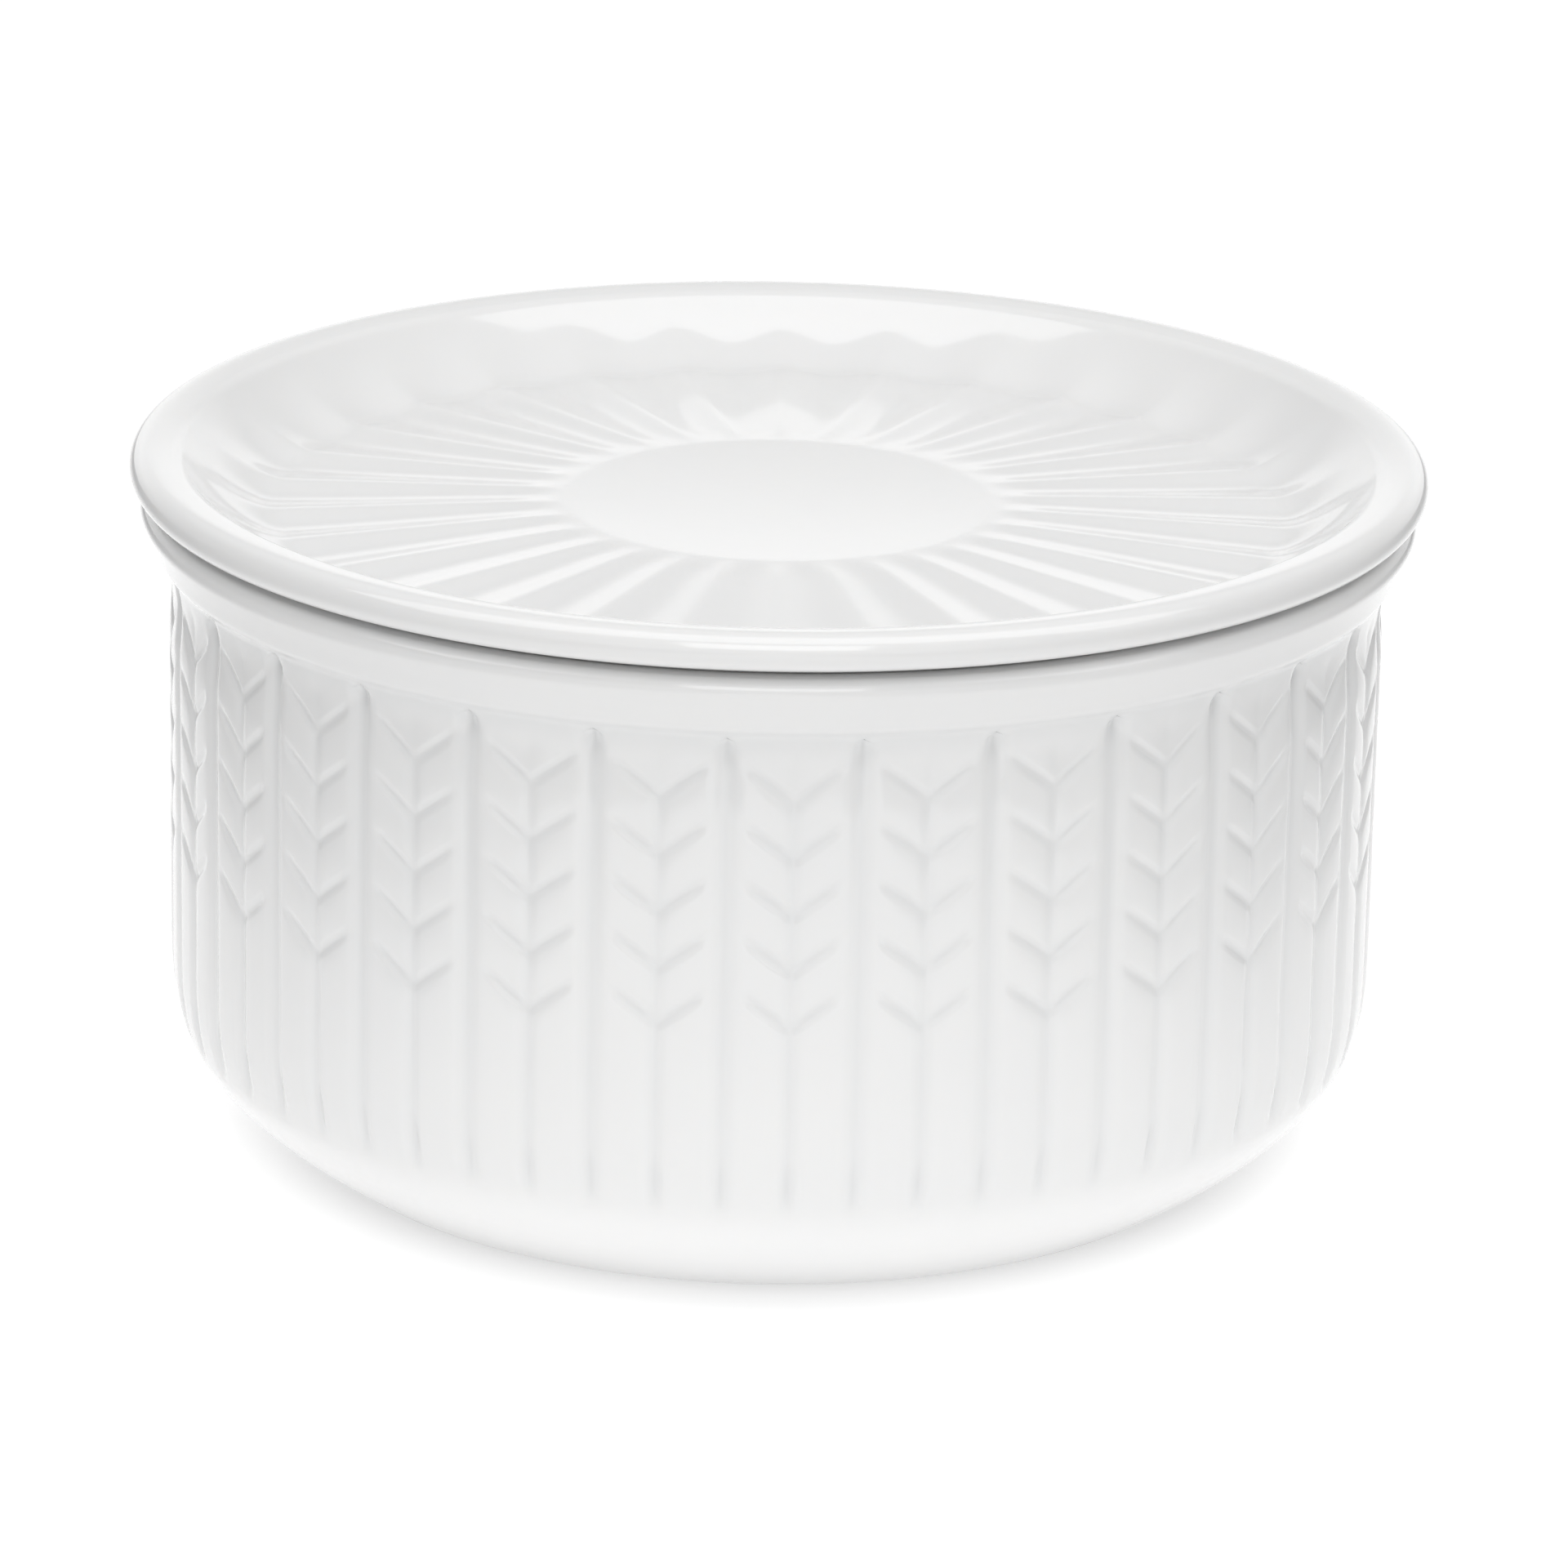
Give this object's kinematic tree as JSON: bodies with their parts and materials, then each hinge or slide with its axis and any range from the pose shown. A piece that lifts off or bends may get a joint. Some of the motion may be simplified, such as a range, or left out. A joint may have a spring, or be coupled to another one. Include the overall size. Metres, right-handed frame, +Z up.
{
  "type": "covered casserole dish",
  "caption": "Round white porcelain casserole dish with a grooved, leaf-veined wall and a plate-like lid with a fluted well.",
  "frame": {"origin": "middle of the dish's foot ring, on the table", "axes": "+Z up the axis of the dish, -Y towards the front; one ridge of the lid's well points along -Y"},
  "size_m": [0.2, 0.2, 0.1099],
  "materials": {
    "glazed_porcelain": "white gloss glaze over white porcelain, unglazed on the foot rings"
  },
  "bodies": {
    "dish": {"dish": "glazed_porcelain"},
    "lid": {"lid": "glazed_porcelain"}
  },
  "joints": [
    {"name": "lid_lift", "type": "slide", "parent": "dish", "child": "lid", "axis": [0, 0, 1], "range_m": [0, 0.12]}
  ]
}
